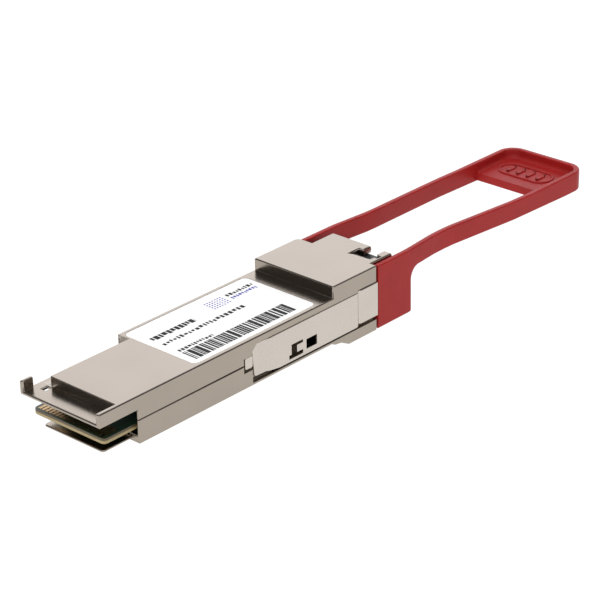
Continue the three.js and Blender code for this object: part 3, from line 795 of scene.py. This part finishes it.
# The floor's half width and its gap below the object, in metres, with its shade and glow.
FLOOR = {"half": 3.0, "gap": 0.0002, "shade": 0.12, "glow": 0.98}
# The sky's brightness over the height of a direction, and the parts that multiply it by
# 1 + level within a cone, whose cosines are where it begins and where it is full.
SKY_COLOR = (0.95, 0.96, 1.0)
SKY_LEVEL = 1.25
SKY_BELT = ((0.6, 0.72), (0.86, 0.93))
BELT_LEVEL = 0.25
KEY_PANEL = {"towards": (-0.613, 0.662, 0.431), "cone": (0.7, 0.88), "level": 0.4}
FRONT_FLAG = {"towards": (-0.62, -0.66, 0.42), "cone": (0.84, 0.95), "level": -0.92}
BACK_FLAG = {"towards": (0.63, 0.65, 0.42), "cone": (0.8, 0.94), "level": -0.84}
LIGHTS = {
    "key_light": {"towards": (-0.3, 0.2, 1.0), "distance": 0.9, "size": 0.9, "power": 2.6},
    "front_light": {"towards": (0.1, -0.9, 0.7), "distance": 0.9, "size": 0.8, "power": 2.0},
}


def add_floor():
    """A plain floor that glows, so that it stays white and shows only the darkest shadows."""
    half = FLOOR["half"]
    mesh = bpy.data.meshes.new("floor")
    mesh.from_pydata(
        [(-half, -half, 0), (half, -half, 0), (half, half, 0), (-half, half, 0)],
        [],
        [(0, 1, 2, 3)],
    )
    floor = link("floor", mesh)
    floor.location.z = cad_low.z - FLOOR["gap"]
    material = bpy.data.materials.new("white_floor")
    material.use_nodes = True
    shader = material.node_tree.nodes["Principled BSDF"]
    shader.inputs["Base Color"].default_value = (*[FLOOR["shade"]] * 3, 1)
    shader.inputs["Roughness"].default_value = 1.0
    shader.inputs["Specular IOR Level"].default_value = 0.0
    shader.inputs["Emission Color"].default_value = (1, 1, 1, 1)
    shader.inputs["Emission Strength"].default_value = FLOOR["glow"]
    mesh.materials.append(material)


def add_sky():
    """A soft white studio: a dark belt between low walls and the ceiling, with one brighter
    panel behind the object and two black flags that draw its edges."""
    world = bpy.data.worlds.new("studio")
    bpy.context.scene.world = world
    world.use_nodes = True
    tree = world.node_tree
    background = tree.nodes["Background"]
    direction = tree.nodes.new("ShaderNodeTexCoord").outputs["Generated"]

    def fade(value, low, high, to_low, to_high):
        node = tree.nodes.new("ShaderNodeMapRange")
        node.interpolation_type = "SMOOTHSTEP"
        tree.links.new(value, node.inputs[0])
        for index, number in enumerate((low, high, to_low, to_high), start=1):
            node.inputs[index].default_value = number
        return node.outputs[0]

    def combine(operation, first, second):
        node = tree.nodes.new("ShaderNodeMath")
        node.operation = operation
        tree.links.new(first, node.inputs[0])
        tree.links.new(second, node.inputs[1])
        return node.outputs[0]

    def lobe(settings):
        node = tree.nodes.new("ShaderNodeVectorMath")
        node.operation = "DOT_PRODUCT"
        node.inputs[1].default_value = Vector(settings["towards"]).normalized()
        tree.links.new(direction, node.inputs[0])
        return fade(node.outputs["Value"], *settings["cone"], 1.0, 1.0 + settings["level"])

    split = tree.nodes.new("ShaderNodeSeparateXYZ")
    tree.links.new(direction, split.inputs[0])
    walls = fade(split.outputs["Z"], *SKY_BELT[0], SKY_LEVEL, BELT_LEVEL)
    ceiling = fade(split.outputs["Z"], *SKY_BELT[1], BELT_LEVEL, SKY_LEVEL)
    level = combine("MAXIMUM", walls, ceiling)
    for settings in (KEY_PANEL, FRONT_FLAG, BACK_FLAG):
        level = combine("MULTIPLY", level, lobe(settings))
    tree.links.new(level, background.inputs["Strength"])
    background.inputs["Color"].default_value = (*SKY_COLOR, 1)


def add_area_light(name, towards, distance, size, power):
    """A soft light that colours plastics and print, and leaves no reflection in the metal."""
    light = bpy.data.lights.new(name, "AREA")
    light.shape = "DISK"
    light.size = size
    light.energy = power
    lamp = bpy.data.objects.new(name, light)
    bpy.context.scene.collection.objects.link(lamp)
    direction = Vector(towards).normalized()
    lamp.location = case_point(*AIM) + direction * distance
    lamp.rotation_euler = direction.to_track_quat("Z", "Y").to_euler()
    lamp.visible_glossy = False
    lamp.visible_camera = False


def add_camera():
    azimuth, elevation, roll = (math.radians(angle) for angle in (AZIMUTH, ELEVATION, ROLL))
    back = Vector(
        (
            math.sin(azimuth) * math.cos(elevation),
            -math.cos(azimuth) * math.cos(elevation),
            math.sin(elevation),
        )
    )
    level = Vector((math.cos(azimuth), math.sin(azimuth), 0))
    upright = back.cross(level)
    right = level * math.cos(roll) + upright * math.sin(roll)
    up = upright * math.cos(roll) - level * math.sin(roll)
    camera = bpy.data.cameras.new("camera")
    camera.lens = LENS
    camera.sensor_width = 36.0
    camera.clip_start = 0.01
    camera.clip_end = 20.0
    holder = bpy.data.objects.new("camera", camera)
    bpy.context.scene.collection.objects.link(holder)
    offset = right * AIM_OFFSET[0] + up * AIM_OFFSET[1] + back * DISTANCE
    turn = Matrix((right, up, back)).transposed().to_4x4()
    holder.matrix_world = Matrix.Translation(case_point(*AIM) + offset * MM) @ turn
    bpy.context.scene.camera = holder


# --- Scene --------------------------------------------------------------------------

# How far the plainer nodes' outer edges are rounded.
SOFT_EDGES = {
    "label": 0.02,
    "main_board": 0.05,
    "optical_receptacle": 0.1,
    "duplexer_body": 0.15,
    "signal_processor": 0.08,
    "microcontroller": 0.05,
    "driver_chip": 0.05,
    "power_converter": 0.05,
    "power_inductor_1": 0.15,
    "power_inductor_2": 0.15,
    "subassembly_clamp": 0.05,
}

add_camera()
add_floor()
add_sky()
for name, settings in LIGHTS.items():
    add_area_light(name, **settings)
bpy.context.scene.view_settings.view_transform = "Standard"

for node, width in SOFT_EDGES.items():
    soften(node, width)
soften("top_shell", 0.26, hollow=0.03, special=case_edge)
soften("bottom_shell", 0.24, special=case_edge)
soften("pull_tab", 0.28, special=tab_edge, split=PAD["middle"])
for word in ("right", "left"):
    soften(f"slider_{word}", 0.22, reshape=crease_slide, special=slide_edge)
bpy.data.objects["label_look"].visible_glossy = False
for word, side in (("right", 1), ("left", -1)):
    return_spring(word, side)
for node in nodes:
    dress_node(node)
print_label()
